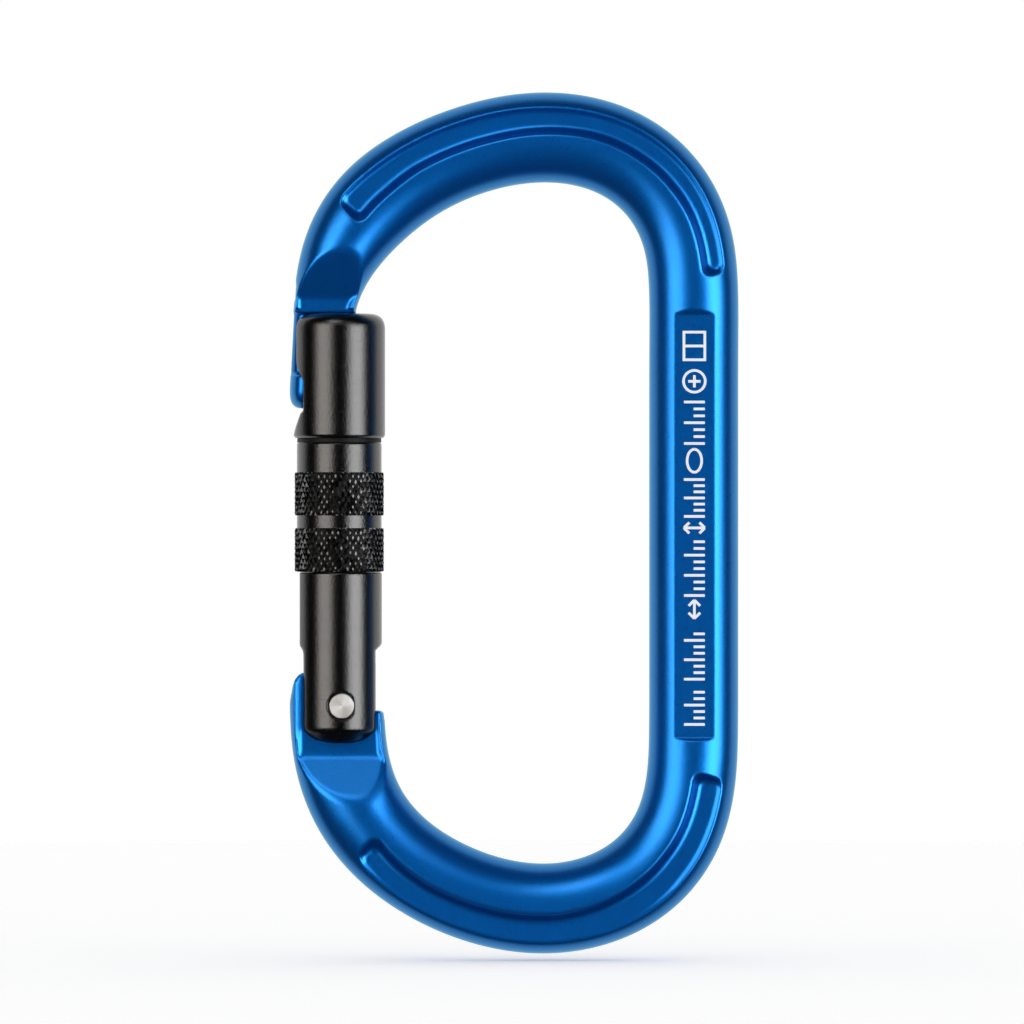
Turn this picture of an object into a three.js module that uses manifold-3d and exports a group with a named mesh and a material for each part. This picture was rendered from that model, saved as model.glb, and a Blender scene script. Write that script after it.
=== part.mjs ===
// A keylock carabiner with a twisting lock collar, in millimetres, +Z up.
// The body lies in the XZ plane: the gate is on the -X side, the spine on the +X side,
// and Y runs through the thickness. The origin is the centre of the whole object.
// The gate is drawn shut and the collar at its open stop.
import * as THREE from "three";
import { mergeVertices } from "three/addons/utils/BufferGeometryUtils.js";
import Module from "manifold-3d";

const wasm = await Module();
wasm.setup();

// ---------------------------------------------------------------- shared dimensions
const GATE_X = -22.9; // the gate's axis is vertical, at y = 0
const HINGE = { x: -22.5, z: -23.9 }; // the hinge's axis runs along Y
const RIVET_R = 1.55;
const STEM_R = 3.6; // the gate head's stem, on which the collar turns

// Drive pin, along Y through the bolt.
const DRIVE_PIN_R = 0.75;
const DRIVE_PIN_Z = -4.2; // height unlocked
const DRIVE_PIN_LIFT = 3.2; // rise in a quarter turn of the collar

// Tail pin, along X through the stem and the gate tail.
const TAIL_PIN = { r: 0.75, y: 2.6, z: -9.5, segments: 14 };

// Plunger on the gate's axis; its round tip rides on the body's cam.
const PLUNGER_R = 1.25;
const PLUNGER_TOP = -16.3;
const PLUNGER_BORE_TOP = -12.3;
const CAM_START = 5.3; // distance of the tip's centre from the hinge at angle 0
const CAM_RISE = 2.15; // growth of that distance per radian

const STEM_BORE_BOTTOM = -11.5; // floor of the stem's bore in the gate tail
const BOLT_BOTTOM = -5.8;
const SPRING_BORE_BOTTOM = 1.5; // floor of the collar's spring bore

// ---------------------------------------------------------------- solids
// A geometry as a closed solid: its shared points are merged and its faces made to point out.
function solid(geometry) {
  const loose = geometry.index ? geometry.toNonIndexed() : geometry;
  const bare = new THREE.BufferGeometry().setAttribute("position", loose.getAttribute("position"));
  const merged = mergeVertices(bare, 1e-4);
  const points = merged.attributes.position.array;
  const index = merged.index.array;
  const corners = [new THREE.Vector3(), new THREE.Vector3(), new THREE.Vector3()];
  const triangles = [];
  let volume = 0;
  for (let i = 0; i < index.length; i += 3) {
    const [a, b, c] = index.subarray(i, i + 3);
    if (a === b || b === c || a === c) continue;
    triangles.push([a, b, c]);
    const [p, q, r] = corners.map((corner, k) => corner.fromArray(points, 3 * index[i + k]));
    volume += p.dot(q.clone().cross(r));
  }
  const outward = volume < 0 ? triangles.map(([a, b, c]) => [a, c, b]) : triangles;
  return new wasm.Manifold(new wasm.Mesh({
    numProp: 3,
    vertProperties: Float32Array.from(points),
    triVerts: Uint32Array.from(outward.flat()),
  }));
}

const AXIS_X = new THREE.Vector3(1, 0, 0);
const AXIS_Y = new THREE.Vector3(0, 1, 0);
const AXIS_Z = new THREE.Vector3(0, 0, 1);
const TO_XZ = new THREE.Matrix4().makeBasis(AXIS_X, AXIS_Z, AXIS_Y.clone().negate());
const TO_YZ = new THREE.Matrix4().makeBasis(AXIS_Y, AXIS_Z, AXIS_X);

const shape = (points) => new THREE.Shape(points.map(([a, b]) => new THREE.Vector2(a, b)));
const extruded = (points, depth) =>
  new THREE.ExtrudeGeometry(shape(points), { depth, bevelEnabled: false, steps: 1 });

// A prism with its outline in the XZ plane, from y = -half to y = half.
const prismXZ = (points, half) =>
  solid(extruded(points, 2 * half).translate(0, 0, -half).applyMatrix4(TO_XZ));

// A prism with its outline in the YZ plane, between two values of x.
const prismYZ = (points, x0, x1) =>
  solid(extruded(points, x1 - x0).translate(0, 0, x0).applyMatrix4(TO_YZ));

const box = ([x0, x1], [y0, y1], [z0, z1]) =>
  solid(new THREE.BoxGeometry(x1 - x0, y1 - y0, z1 - z0)
    .translate((x0 + x1) / 2, (y0 + y1) / 2, (z0 + z1) / 2));

// Turned solids, from profiles of [radius, place along the axis].
const lathe = (profile, segments) =>
  new THREE.LatheGeometry(profile.map(([r, h]) => new THREE.Vector2(r, h)), segments);
const turnedOnGate = (profile, segments) =>
  solid(lathe(profile, segments).rotateX(Math.PI / 2).translate(GATE_X, 0, 0));
const turnedAlongY = (profile, segments, { x, z }) =>
  solid(lathe(profile, segments).translate(x, 0, z));
const turnedOnTailPin = (profile) =>
  solid(lathe(profile, TAIL_PIN.segments).rotateZ(-Math.PI / 2)
    .translate(0, TAIL_PIN.y, TAIL_PIN.z));

const pinProfile = (r, from, to, chamfer) => [
  [0, from], [r - chamfer, from], [r, from + chamfer],
  [r, to - chamfer], [r - chamfer, to], [0, to],
];

// Bores: the polygon stands outside its circle.
function boreProfile(r, from, to, segments) {
  const outer = r / Math.cos(Math.PI / segments);
  return [[0, from], [outer, from], [outer, to], [0, to]];
}
const boreOnGate = (r, from, to, segments) =>
  turnedOnGate(boreProfile(r, from, to, segments), segments);
const boreAlongY = (r, half, segments, place) =>
  turnedAlongY(boreProfile(r, -half, half, segments), segments, place);
const tailPinBore = () =>
  turnedOnTailPin(boreProfile(TAIL_PIN.r + 0.04, -30, -15, TAIL_PIN.segments));

const cut = (first, ...rest) => rest.reduce((a, b) => a.subtract(b), first);

// A [y, z] outline reflected in y = 0, and half an outline closed with its reflection.
const mirrored = (outline) => outline.map(([y, z]) => [-y, z]).reverse();
const symmetric = (half) => [...half, ...mirrored(half)];

const radians = (degrees) => (degrees * Math.PI) / 180;

// Points on an elliptical arc, both ends included.
const arc = ([a, b], [radiusA, radiusB], from, to, steps) =>
  Array.from({ length: steps + 1 }, (_, k) => {
    const angle = from + ((to - from) * k) / steps;
    return [a + radiusA * Math.cos(angle), b + radiusB * Math.sin(angle)];
  });

// Rings of points joined into a closed skin, each end closed by a fan.
function lofted(rings) {
  const count = rings[0].length;
  const points = rings.flat();
  const index = [];
  for (let i = 0; i + 1 < rings.length; i++)
    for (let j = 0; j < count; j++) {
      const a = i * count + j;
      const b = i * count + ((j + 1) % count);
      index.push(a, b, b + count, a, b + count, a + count);
    }
  for (const i of [0, rings.length - 1]) {
    const middle = points.length;
    points.push(rings[i].reduce((sum, q) => sum.map((v, k) => v + q[k] / count), [0, 0, 0]));
    for (let j = 0; j < count; j++) {
      const a = i * count + j;
      const b = i * count + ((j + 1) % count);
      index.push(...(i === 0 ? [middle, b, a] : [middle, a, b]));
    }
  }
  const position = new THREE.Float32BufferAttribute(points.flat(), 3);
  return solid(new THREE.BufferGeometry().setAttribute("position", position).setIndex(index));
}

// ---------------------------------------------------------------- body centreline
// Control points of a uniform cubic B-spline: x, z and half width in the XZ plane.
// It runs from the nose, over the top, down the spine and round the bottom to the hinge.
const CENTRELINE = [
  [-23.6, 14.69, 4.74], [-25.2, 22.0, 3.76], [-24.99, 29.13, 4.02], [-22.76, 35.88, 5.28],
  [-18.5, 41.62, 6.02], [-12.77, 45.85, 5.92], [-6.27, 48.72, 5.85], [0.63, 50.38, 5.88],
  [7.76, 50.41, 5.89], [14.62, 48.24, 5.87], [20.09, 43.54, 5.86], [23.06, 37.01, 5.83],
  [23.5, 29.9, 5.82], [23.42, 22.83, 5.82], [23.42, 15.79, 5.82], [23.42, 8.73, 5.82],
  [23.42, 1.66, 5.82], [23.42, -5.39, 5.82], [23.42, -12.46, 5.82], [23.42, -19.51, 5.82],
  [23.42, -26.55, 5.82], [23.3, -33.67, 5.82], [21.63, -40.61, 5.86], [17.27, -46.32, 5.89],
  [10.9, -49.72, 5.88], [3.8, -50.79, 5.88], [-3.22, -49.78, 5.89], [-9.84, -47.21, 5.88],
  [-15.84, -43.31, 5.88], [-20.47, -37.87, 5.98], [-22.85, -31.18, 6.18], [-23.3, -24.05, 6.17],
  [-23.1, -16.98, 6.14], [-22.65, -10.0, 6.13],
];

// [x, z, half width] at parameter t, which counts spline spans.
function centre(t) {
  const i = Math.floor(t);
  const f = t - i;
  const weights = [
    (1 - f) ** 3 / 6,
    (3 * f ** 3 - 6 * f * f + 4) / 6,
    (-3 * f ** 3 + 3 * f * f + 3 * f + 1) / 6,
    f ** 3 / 6,
  ];
  return [0, 1, 2].map((k) => weights.reduce((sum, w, j) => sum + w * CENTRELINE[i + j][k], 0));
}

// The half width at t, and a function that places a point of the section there:
// `out` is its distance from the centreline along the outward normal.
function station(t) {
  const [x, z, half] = centre(t);
  const [xa, za] = centre(t - 1e-3);
  const [xb, zb] = centre(t + 1e-3);
  const length = Math.hypot(xb - xa, zb - za);
  const normalX = -(zb - za) / length;
  const normalZ = (xb - xa) / length;
  return { half, place: (out, y) => [x + normalX * out, y, z + normalZ * out] };
}

// ---------------------------------------------------------------- body
const HALF_THICKNESS = 5.45; // half the body's depth in Y
const SECTION_POINTS = 20;
const CLEAR_Y = 9; // |Y| of cutters that run clear of the body

function rodSolid() {
  const stations = [];
  for (let t = 1.0; t < 11.4; t += 0.4) stations.push(t);
  stations.push(12, 15.5, 19); // the straight spine
  for (let t = 19.4; t < 30.6; t += 0.4) stations.push(t);
  return lofted(stations.map((t) => {
    const { half, place } = station(t);
    return Array.from({ length: SECTION_POINTS }, (_, k) => {
      const angle = (2 * Math.PI * (k + 0.5)) / SECTION_POINTS;
      return place(half * Math.cos(angle), HALF_THICKNESS * Math.sin(angle));
    });
  }));
}

// Nose: a thin neck with a T-shaped head, which sits in the keyhole of the gate's head.
const NOSE_WEB_Y = 2.25;
const NOSE_NECK_Y = 1.9;
const NOSE_T_Y = 3.3;
const NOSE_T_BOTTOM = 14.95;
const NOSE_TOP = 28.6; // the nose overlaps the rod up to here
const NOSE_SOCKET_R = 1.75;
const NOSE_SOCKET_TOP = 18.4;
// [y, z] of the slope from the web out to the full thickness.
const NOSE_SLOPE = [
  [NOSE_WEB_Y, 20], [NOSE_WEB_Y, 29.2], [5.7, 36.1], [CLEAR_Y, 36.1], [CLEAR_Y, 20],
];
// [x, z] of the nose seen along Y.
const NOSE_OUTLINE = [
  [-28.75, NOSE_TOP], [-28.95, 26.5], [-29.2, 22], [-29.4, 18.6], [-29.3, 16.2],
  [-28.9, 15.3], [-28.3, NOSE_T_BOTTOM], [-20.6, NOSE_T_BOTTOM], [-20.0, 15.6],
  [-20.0, 18.6], [-20.35, 19.6], [-20.9, 20.4], [-20.9, NOSE_TOP],
];
// [y, z] of half the nose's section: web, neck, shoulders and T head.
const NOSE_HALF_SECTION = [
  [NOSE_WEB_Y, NOSE_TOP], [NOSE_WEB_Y, 27.6], [NOSE_NECK_Y, 27.0],
  [NOSE_NECK_Y, 20.8], [2.2, 19.85], [2.85, 18.9], [NOSE_T_Y, 17.9],
  [NOSE_T_Y, NOSE_T_BOTTOM + 1.0], [NOSE_T_Y - 0.7, NOSE_T_BOTTOM],
];

function withNose(body) {
  const trimmed = cut(body,
    prismYZ(NOSE_SLOPE, -34, -10),
    prismYZ(mirrored(NOSE_SLOPE), -34, -10),
    box([-34, -12], [-CLEAR_Y, CLEAR_Y], [10, 27.48]));
  const nose = prismXZ(NOSE_OUTLINE, 6)
    .intersect(prismYZ(symmetric(NOSE_HALF_SECTION), -32, -18));
  return cut(trimmed.add(nose), boreOnGate(NOSE_SOCKET_R, 12, NOSE_SOCKET_TOP, 16));
}

// Hinge end: a tongue, and a slope that runs out to the full thickness.
const TONGUE_Y = 2.4;
const HINGE_POCKET_X = [-28.4, -17.7]; // thin lips of the rod stay outside this range
const CAM_GAP = 0.12; // between the plunger's tip and the cam
const HINGE_SLOPE = [ // [y, z]
  [TONGUE_Y, -12], [CLEAR_Y, -12], [CLEAR_Y, -36.66], [5.7, -36.66], [TONGUE_Y, -30.4],
];
// [x, z] of the tongue's top edge on either side of the cam, closed well above it.
const EDGE_BEFORE_CAM = [
  [-34, -12], [-34, -20.6], [-29.4, -20.6], [-29.05, -19.85], [-28.4, -19.5],
  [-27.7, -19.6], [-25.6, -20.9], [-24.6, -20.9],
];
const EDGE_AFTER_CAM = [
  [-18.1, -21.6], [-17.75, -23.9], [-17.3, -24.4], [-16.9, -24.55],
  [-16.4, -25.4], [-10, -25.4], [-10, -12],
];

// Place of the plunger tip's centre, at an angle from +Z towards +X about the hinge.
function tipCentre(angle) {
  const distance = CAM_START + CAM_RISE * angle;
  return [HINGE.x + distance * Math.sin(angle), HINGE.z + distance * Math.cos(angle)];
}

// The cam follows the tip's path, offset towards the hinge.
function camPoints() {
  const offset = PLUNGER_R + CAM_GAP;
  const points = [];
  for (let degrees = -14; degrees <= 40; degrees += 6) {
    const angle = radians(degrees);
    const [x, z] = tipCentre(angle);
    const [nextX, nextZ] = tipCentre(angle + 1e-4);
    const length = Math.hypot(nextX - x, nextZ - z);
    points.push([x + ((nextZ - z) / length) * offset, z - ((nextX - x) / length) * offset]);
  }
  return points;
}

const withTongue = (body) => cut(body,
  prismYZ(HINGE_SLOPE, ...HINGE_POCKET_X),
  prismYZ(mirrored(HINGE_SLOPE), ...HINGE_POCKET_X),
  prismXZ([...EDGE_BEFORE_CAM, ...camPoints(), ...EDGE_AFTER_CAM], CLEAR_Y),
  boreAlongY(RIVET_R + 0.08, 4, 24, HINGE));

// Forged pockets in the outer half of the rod, front and back: first and last t of each.
const POCKETS = [[2.52, 10.7], [19.86, 27.68]];
const POCKET_STEPS = 24;
const POCKET_FLOOR = 3.7; // |Y|
const POCKET_MIDDLE = 2.25; // distance outward from the centreline
const POCKET_TAPER = 0.32; // length in t over which each end narrows
const POCKET_END_WIDTH = 0.3; // share of the full width left at the ends
const POCKET_END_RISE = 1.2; // the floor's rise for a width share of 0

function pocketSolid(from, to, side) {
  const rings = [];
  for (let k = 0; k <= POCKET_STEPS; k++) {
    const t = from + ((to - from) * k) / POCKET_STEPS;
    const { place } = station(t);
    const taper = Math.sqrt(Math.min(t - from, to - t) / POCKET_TAPER);
    const width = Math.min(1, POCKET_END_WIDTH + taper * (1 - POCKET_END_WIDTH));
    const floor = POCKET_FLOOR + (1 - width) * POCKET_END_RISE;
    const section = [[1.1, floor], [4.0, floor], [4.3, 6.2], [-0.1, 6.2]]; // [outward, |y|]
    rings.push(section.map(([out, y]) =>
      place(POCKET_MIDDLE + (out - POCKET_MIDDLE) * width, side * y)));
  }
  return lofted(rings);
}

// Flat pads with curved ends, milled on the spine, front and back.
const PAD = { x: 23.42, y: 4.95, top: 27.9, bottom: -28.6, halfWidth: 3.2, endRise: 1.1 };
const PAD_CUTTER_HALF = 1.5; // half depth of the cutter in Y

function padSolid(side) {
  const radii = [PAD.halfWidth, PAD.endRise];
  const outline = [
    ...arc([PAD.x, PAD.top - PAD.endRise], radii, 0, Math.PI, 6),
    ...arc([PAD.x, PAD.bottom + PAD.endRise], radii, Math.PI, 2 * Math.PI, 6),
  ];
  return prismXZ(outline, PAD_CUTTER_HALF).translate([0, side * (PAD.y + PAD_CUTTER_HALF), 0]);
}

function bodySolid() {
  const pockets = POCKETS.flatMap(([from, to]) =>
    [-1, 1].map((side) => pocketSolid(from, to, side)));
  return cut(withTongue(withNose(rodSolid())), ...pockets, ...[-1, 1].map(padSolid));
}

// ---------------------------------------------------------------- gate head and stem
const HEAD_R = 6.0;
const HEAD_BOTTOM = 11.02;
const HEAD_TOP = 27.28;
const STEM_BOTTOM = -11.3;
const BOLT_BORE_R = 1.6;
const DRIVE_SLOT = { halfWidth: 0.875, margin: 1.0 }; // margin above and below the pin's axis
const KEY_T_Y = 3.6;
const KEY_T_TOP = 18.05;
const KEY_T_BOTTOM = 14.4;
const KEY_X = -20.6; // +X end of the narrow slot
const KEY_T_X = -19.7; // +X end of the T and its shoulders
// [y, z] of the keyhole's shoulders, from the narrow slot down to the T.
const KEY_SHOULDER = [[2.2, 21.1], [2.5, 20.1], [3.15, 19.15], [KEY_T_Y, KEY_T_TOP]];
const HEAD_PROFILE = [
  [0, STEM_BOTTOM], [STEM_R - 0.3, STEM_BOTTOM], [STEM_R, STEM_BOTTOM + 0.3],
  [STEM_R, HEAD_BOTTOM], [5.5, HEAD_BOTTOM], [HEAD_R, HEAD_BOTTOM + 0.45],
  [HEAD_R, 26.1], [5.75, 26.8], [5.1, HEAD_TOP], [0, HEAD_TOP],
];
// [x, z] of the sloping recess under the keyhole's mouth, at -X.
const MOUTH_OUTLINE = [
  [-31, 18], [-31, 11.0], [-29.05, 11.3], [-28.75, 12.2], [-27.9, KEY_T_BOTTOM], [-27.9, 18],
];

function gateHeadSolid() {
  const { halfWidth, margin } = DRIVE_SLOT;
  const keyhole = symmetric([[KEY_SHOULDER[0][0], 30], ...KEY_SHOULDER, [KEY_T_Y, KEY_T_BOTTOM]]);
  return cut(turnedOnGate(HEAD_PROFILE, 40),
    boreOnGate(BOLT_BORE_R, -14, 16, 20),
    // Keyhole for the nose, open towards -X.
    prismYZ(keyhole, -32, KEY_X),
    box([-32, KEY_T_X], [-KEY_T_Y, KEY_T_Y], [KEY_T_BOTTOM, KEY_T_TOP]),
    prismYZ(symmetric(KEY_SHOULDER), KEY_X - 0.1, KEY_T_X),
    prismXZ(MOUTH_OUTLINE, KEY_T_Y),
    // Slots for the drive pin.
    box([GATE_X - halfWidth, GATE_X + halfWidth], [-5, 5],
      [DRIVE_PIN_Z - margin, DRIVE_PIN_Z + DRIVE_PIN_LIFT + margin]),
    tailPinBore());
}

// ---------------------------------------------------------------- gate tail
const TAIL_R = 5.58;
const TAIL_TOP = -6.52;
const TAIL_BOTTOM = -28.85;
const FORK_Y = 2.55; // half the gap that takes the tongue
const FORK_TOP = -18.3;
const TAIL_CORNER_R = 5.7; // lower corner at -X, about the hinge
const TAIL_PROFILE = [
  [0, TAIL_BOTTOM - 1], [TAIL_R, TAIL_BOTTOM - 1], [TAIL_R, TAIL_TOP - 0.15],
  [TAIL_R - 0.15, TAIL_TOP], [0, TAIL_TOP],
];
// [x, z] of the tail seen along Y: down the -X side, round the corner, up the +X side.
const TAIL_OUTLINE = [
  [-29.5, TAIL_TOP + 1], [-29.5, -15.7], [-28.45, -15.9], [-28.1, -16.05],
  [-27.75, -16.45], [-27.56, -17.0],
  ...arc([HINGE.x, HINGE.z], [TAIL_CORNER_R, TAIL_CORNER_R],
    Math.atan2(-2.62, -5.06), Math.atan2(-4.95, -2.83), 4),
  [-19.7, TAIL_BOTTOM], [-18.75, -28.35], [-18.25, -27.6], [-18.14, -27.0],
  [-18.14, -16.6], [-17.3, -15.9], [-16, -15.7], [-16, TAIL_TOP + 1],
];

const gateTailSolid = () => cut(
  turnedOnGate(TAIL_PROFILE, 40).intersect(prismXZ(TAIL_OUTLINE, 8)),
  box([-32, -14], [-FORK_Y, FORK_Y], [-32, FORK_TOP]),
  boreOnGate(STEM_R + 0.05, STEM_BORE_BOTTOM, -5, 40),
  boreOnGate(PLUNGER_R + 0.08, -19, PLUNGER_BORE_TOP, 20),
  boreAlongY(RIVET_R + 0.05, 8, 20, HINGE),
  tailPinBore());

// ---------------------------------------------------------------- lock collar
const COLLAR_BOTTOM = -6.47;
const COLLAR_TOP = 10.39;
const KNURL_R = 5.9;
const WAIST_R = 5.54; // shallow groove round the outside
const NECK_R = 5.58;
const COLLAR_BORE_R = 3.72;
const SPRING_BORE_R = 4.75;
const WASHER_RECESS = { r: 5.0, top: -5.85 };
const HELIX = { inner: 3.3, outer: 4.9, halfHeight: 1.05 };
const COLLAR_PROFILE = [
  [0, COLLAR_BOTTOM], [KNURL_R - 0.3, COLLAR_BOTTOM], [KNURL_R, COLLAR_BOTTOM + 0.3],
  [KNURL_R, -0.85], [WAIST_R, -0.6], [WAIST_R, 0.8], [KNURL_R, 1.05],
  [KNURL_R, 6.4], [NECK_R, 6.65], [NECK_R, COLLAR_TOP - 0.2],
  [NECK_R - 0.2, COLLAR_TOP], [0, COLLAR_TOP],
];

// A helical groove in which one end of the drive pin rides.
function helixSolid(startDegrees) {
  const { inner, outer, halfHeight } = HELIX;
  const section = [
    [inner, -halfHeight], [outer, -halfHeight], [outer, halfHeight], [inner, halfHeight],
  ];
  const rings = [];
  for (let degrees = -18; degrees <= 108; degrees += 9) {
    const angle = radians(startDegrees - degrees);
    const z = DRIVE_PIN_Z + (DRIVE_PIN_LIFT * degrees) / 90;
    rings.push(section.map(([r, h]) =>
      [GATE_X + r * Math.cos(angle), r * Math.sin(angle), z + h]));
  }
  return lofted(rings);
}

const collarSolid = () => cut(turnedOnGate(COLLAR_PROFILE, 40),
  boreOnGate(COLLAR_BORE_R, -8, 12, 40),
  boreOnGate(SPRING_BORE_R, SPRING_BORE_BOTTOM, 12, 40),
  boreOnGate(WASHER_RECESS.r, -8, WASHER_RECESS.top, 40),
  helixSolid(90),
  helixSolid(270));

// ---------------------------------------------------------------- washers and springs
function washer(outer, bottom, top) {
  const inner = STEM_R + 0.1;
  const profile = [[inner, bottom], [outer, bottom], [outer, top], [inner, top], [inner, bottom]];
  return turnedOnGate(profile, 36);
}

const END_TURNS = 0.75; // at each end of a spring these turns lie nearly flat
const END_PITCH = 0.35; // their pitch, as a share of the mean

// The centreline of a coil spring about the gate's axis.
class Coil extends THREE.Curve {
  constructor(r, bottom, top, turns) {
    super();
    Object.assign(this, { r, bottom, top, turns });
  }

  // Share of the height climbed at share u of the turns.
  climb(u) {
    const end = END_TURNS / this.turns;
    if (u < end) return END_PITCH * u;
    if (u > 1 - end) return 1 - END_PITCH * (1 - u);
    return END_PITCH * end + ((u - end) * (1 - 2 * END_PITCH * end)) / (1 - 2 * end);
  }

  getPoint(u, target = new THREE.Vector3()) {
    const angle = 2 * Math.PI * this.turns * u;
    return target.set(
      GATE_X + this.r * Math.cos(angle),
      this.r * Math.sin(angle),
      this.bottom + (this.top - this.bottom) * this.climb(u));
  }
}

// r is the coil's radius, wire the wire's; bottom and top are the spring's outer ends.
function spring({ r, wire, bottom, top, turns, stepsPerTurn }) {
  const section = Array.from({ length: 6 }, (_, k) =>
    [wire * Math.cos((k * Math.PI) / 3), wire * Math.sin((k * Math.PI) / 3)]);
  return solid(new THREE.ExtrudeGeometry(shape(section), {
    steps: Math.round(turns * stepsPerTurn),
    extrudePath: new Coil(r, bottom + wire, top - wire, turns),
    bevelEnabled: false,
  }));
}

const collarSpring = () => spring({
  r: 4.22, wire: 0.32, bottom: SPRING_BORE_BOTTOM + 0.12, top: 10.3, turns: 6.5, stepsPerTurn: 12,
});
const boltSpring = () => spring({
  r: 1.22, wire: 0.17, bottom: STEM_BORE_BOTTOM + 0.05, top: BOLT_BOTTOM - 0.05,
  turns: 8, stepsPerTurn: 10,
});
const returnSpring = () => spring({
  r: 0.98, wire: 0.16, bottom: PLUNGER_TOP + 0.04, top: PLUNGER_BORE_TOP - 0.04,
  turns: 6, stepsPerTurn: 10,
});

// ---------------------------------------------------------------- bolt, pins, plunger
const BOLT_R = 1.52;
const BOLT_TOP = 14.2;
const DRIVE_PIN_PLACE = { x: GATE_X, z: DRIVE_PIN_Z };

function boltSolid() {
  const bolt = turnedOnGate([
    [0, BOLT_BOTTOM], [BOLT_R - 0.2, BOLT_BOTTOM], [BOLT_R, BOLT_BOTTOM + 0.2],
    [BOLT_R, BOLT_TOP - 0.5], [BOLT_R - 0.5, BOLT_TOP], [0, BOLT_TOP],
  ], 20);
  return cut(bolt, boreAlongY(DRIVE_PIN_R + 0.03, 4, 14, DRIVE_PIN_PLACE));
}

const drivePinSolid = () =>
  turnedAlongY(pinProfile(DRIVE_PIN_R, -4.75, 4.75, 0.2), 14, DRIVE_PIN_PLACE);

const tailPinSolid = () => turnedOnTailPin(pinProfile(TAIL_PIN.r, -27.3, -18.5, 0.15));

function rivetSolid() {
  const end = [[RIVET_R, 5.1], [1.3, 5.45], [0.9, 5.62], [0.35, 5.62], [0, 5.72]]; // [r, |y|]
  return turnedAlongY([...end.map(([r, y]) => [r, -y]).reverse(), ...end], 24, HINGE);
}

function plungerSolid() {
  const tip = arc([0, HINGE.z + CAM_START], [PLUNGER_R, PLUNGER_R], -Math.PI / 2, 0, 5);
  return turnedOnGate([
    ...tip, [PLUNGER_R, PLUNGER_TOP - 0.2], [PLUNGER_R - 0.2, PLUNGER_TOP], [0, PLUNGER_TOP],
  ], 20);
}

// ---------------------------------------------------------------- materials
const material = (settings) => new THREE.MeshStandardMaterial(settings);
const BLACK = 0x17181a;
const STEEL = 0xc3c6ca;
const bodyBlue = material({ color: 0x1d3a86, roughness: 0.35, metalness: 1 });
const gateBlack = material({ color: BLACK, roughness: 0.4, metalness: 1 });
const collarBlack = material({ color: BLACK, roughness: 0.35, metalness: 1 });
const steel = material({ color: STEEL, roughness: 0.3, metalness: 1 });
const rivetSteel = material({ color: STEEL, roughness: 0.25, metalness: 1 });
const washerPlastic = material({ color: 0x202124, roughness: 0.5, metalness: 0 });

// ---------------------------------------------------------------- the assembly
function mesh(name, made, finish) {
  const { vertProperties, triVerts } = made.getMesh();
  const geometry = new THREE.BufferGeometry()
    .setAttribute("position", new THREE.BufferAttribute(vertProperties, 3))
    .setIndex(new THREE.BufferAttribute(triVerts, 1));
  geometry.computeVertexNormals();
  const part = new THREE.Mesh(geometry, finish);
  part.name = name;
  return part;
}

const carabiner = new THREE.Group();
const gate = new THREE.Group(); // everything that swings about the hinge rivet
carabiner.add(mesh("body", bodySolid(), bodyBlue), gate);
gate.add(
  mesh("gate_head", gateHeadSolid(), gateBlack),
  mesh("gate_tail", gateTailSolid(), gateBlack),
  mesh("locking_collar", collarSolid(), collarBlack),
  mesh("upper_thrust_washer", washer(5.5, 10.45, 10.97), washerPlastic),
  mesh("lower_thrust_washer", washer(4.85, -6.48, -5.98), washerPlastic),
  mesh("collar_torsion_spring", collarSpring(), steel),
  mesh("locking_bolt", boltSolid(), steel),
  mesh("bolt_drive_pin", drivePinSolid(), steel),
  mesh("bolt_spring", boltSpring(), steel),
  mesh("tail_pin", tailPinSolid(), steel),
  mesh("hinge_rivet", rivetSolid(), rivetSteel),
  mesh("gate_plunger", plungerSolid(), steel),
  mesh("gate_return_spring", returnSpring(), steel),
);

export default carabiner;
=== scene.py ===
# Locking carabiner, standing in the XZ plane: X across, Z up, the rod's depth along Y.
# The spine is on the right (+X) and the gate on the left (-X), with the nose above it and
# the hinge below. The marked face looks towards -Y, where the camera is.
# Lengths are millimetres, turned into metres by MM as meshes are made.
import bpy
import math
import numpy as np
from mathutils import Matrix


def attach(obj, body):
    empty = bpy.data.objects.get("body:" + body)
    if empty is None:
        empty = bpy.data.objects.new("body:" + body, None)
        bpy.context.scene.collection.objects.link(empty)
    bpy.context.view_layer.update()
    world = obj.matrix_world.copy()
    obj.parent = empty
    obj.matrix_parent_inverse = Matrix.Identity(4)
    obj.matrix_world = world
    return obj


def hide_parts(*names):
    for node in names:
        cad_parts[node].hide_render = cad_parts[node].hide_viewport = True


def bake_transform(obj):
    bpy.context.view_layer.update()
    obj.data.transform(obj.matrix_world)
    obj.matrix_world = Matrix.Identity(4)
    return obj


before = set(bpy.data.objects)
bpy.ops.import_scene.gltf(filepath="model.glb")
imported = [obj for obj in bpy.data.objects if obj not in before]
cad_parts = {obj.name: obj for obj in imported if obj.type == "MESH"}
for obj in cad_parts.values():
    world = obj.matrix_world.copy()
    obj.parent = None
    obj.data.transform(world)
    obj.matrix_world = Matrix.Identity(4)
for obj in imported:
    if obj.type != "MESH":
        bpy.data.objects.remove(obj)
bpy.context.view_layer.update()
scene = bpy.context.scene
MM = 0.001

# ------------------------------------------------------------------ shared dimensions
GATE_X = -22.9                          # the gate's axis, parallel to Z through y = 0
HINGE_X, HINGE_Z = -22.5, -23.9         # the hinge's axis, parallel to Y
DRIVE_PIN_Z, DRIVE_PIN_LIFT = -4.2, 3.2
TAIL_PIN_Y, TAIL_PIN_Z = 2.6, -9.5
TAIL_PIN_HOLE = 0.79                    # radius
WASHER_BORE = 3.7                       # radius

HALF_DEPTH = 5.45                       # of the forged rod
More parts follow.
